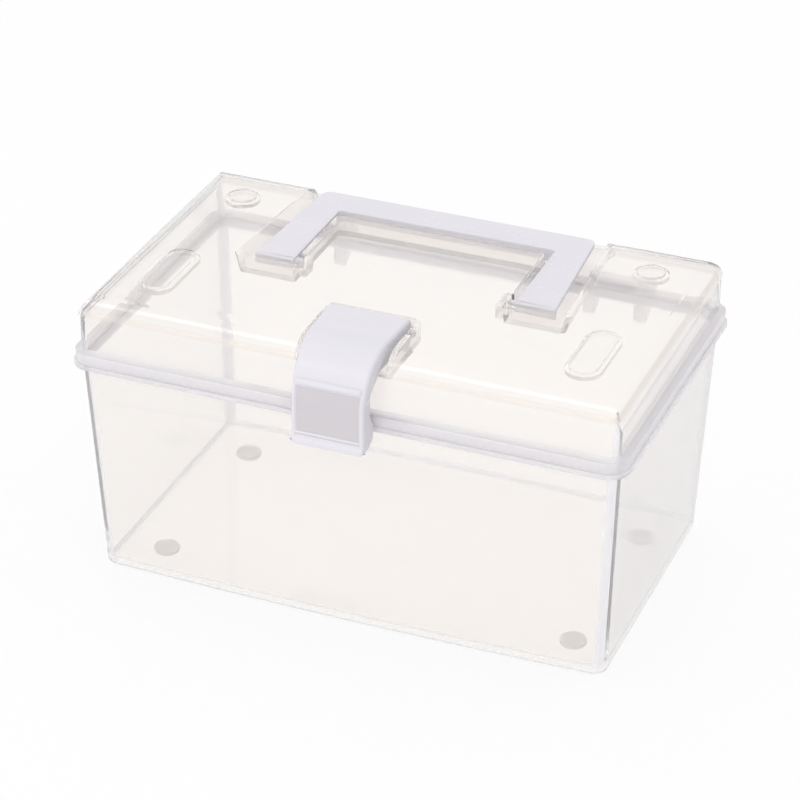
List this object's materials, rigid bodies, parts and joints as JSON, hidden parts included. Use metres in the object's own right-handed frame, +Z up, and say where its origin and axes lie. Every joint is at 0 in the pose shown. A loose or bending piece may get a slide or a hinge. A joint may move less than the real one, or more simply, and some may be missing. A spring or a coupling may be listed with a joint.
{
  "type": "plastic storage box",
  "caption": "Clear plastic storage box with a hinged domed lid, a carry handle that folds flat into the lid, a swinging front latch and stacking feet.",
  "frame": {"origin": "middle of the footprint on the surface that the feet stand on", "axes": "+X to the box's right as seen from the front, along its length; +Y to the back, from the latch to the hinges; +Z up"},
  "size_m": [0.2602, 0.1788, 0.1451],
  "materials": {
    "clear_plastic": "clear, slightly milky polypropylene with a gloss surface",
    "white_plastic": "translucent white with a faint lavender cast, satin gloss",
    "pin_plastic": "translucent natural plastic rod",
    "foot_pad": "soft translucent grey pad"
  },
  "bodies": {
    "bin": {"bin": "clear_plastic", "hinge_pin_left": "pin_plastic", "hinge_pin_right": "pin_plastic", "foot_front_left": "foot_pad", "foot_front_right": "foot_pad", "foot_rear_left": "foot_pad", "foot_rear_right": "foot_pad"},
    "lid": {"lid": "clear_plastic", "latch_pin": "pin_plastic"},
    "handle": {"carry_handle": "white_plastic"},
    "latch": {"front_latch": "white_plastic"}
  },
  "joints": [
    {"name": "lid_hinge", "type": "hinge", "parent": "bin", "child": "lid", "pos_m": [0, 0.0846, 0.1105], "axis": [-1, 0, 0], "range_deg": [0, 105]},
    {"name": "handle_pivot", "type": "hinge", "parent": "lid", "child": "handle", "pos_m": [0, 0, 0.1379], "axis": [1, 0, 0], "range_deg": [0, 110]},
    {"name": "latch_pivot", "type": "hinge", "parent": "lid", "child": "latch", "pos_m": [0, -0.0435, 0.1389], "axis": [-1, 0, 0], "range_deg": [0, 100]}
  ]
}
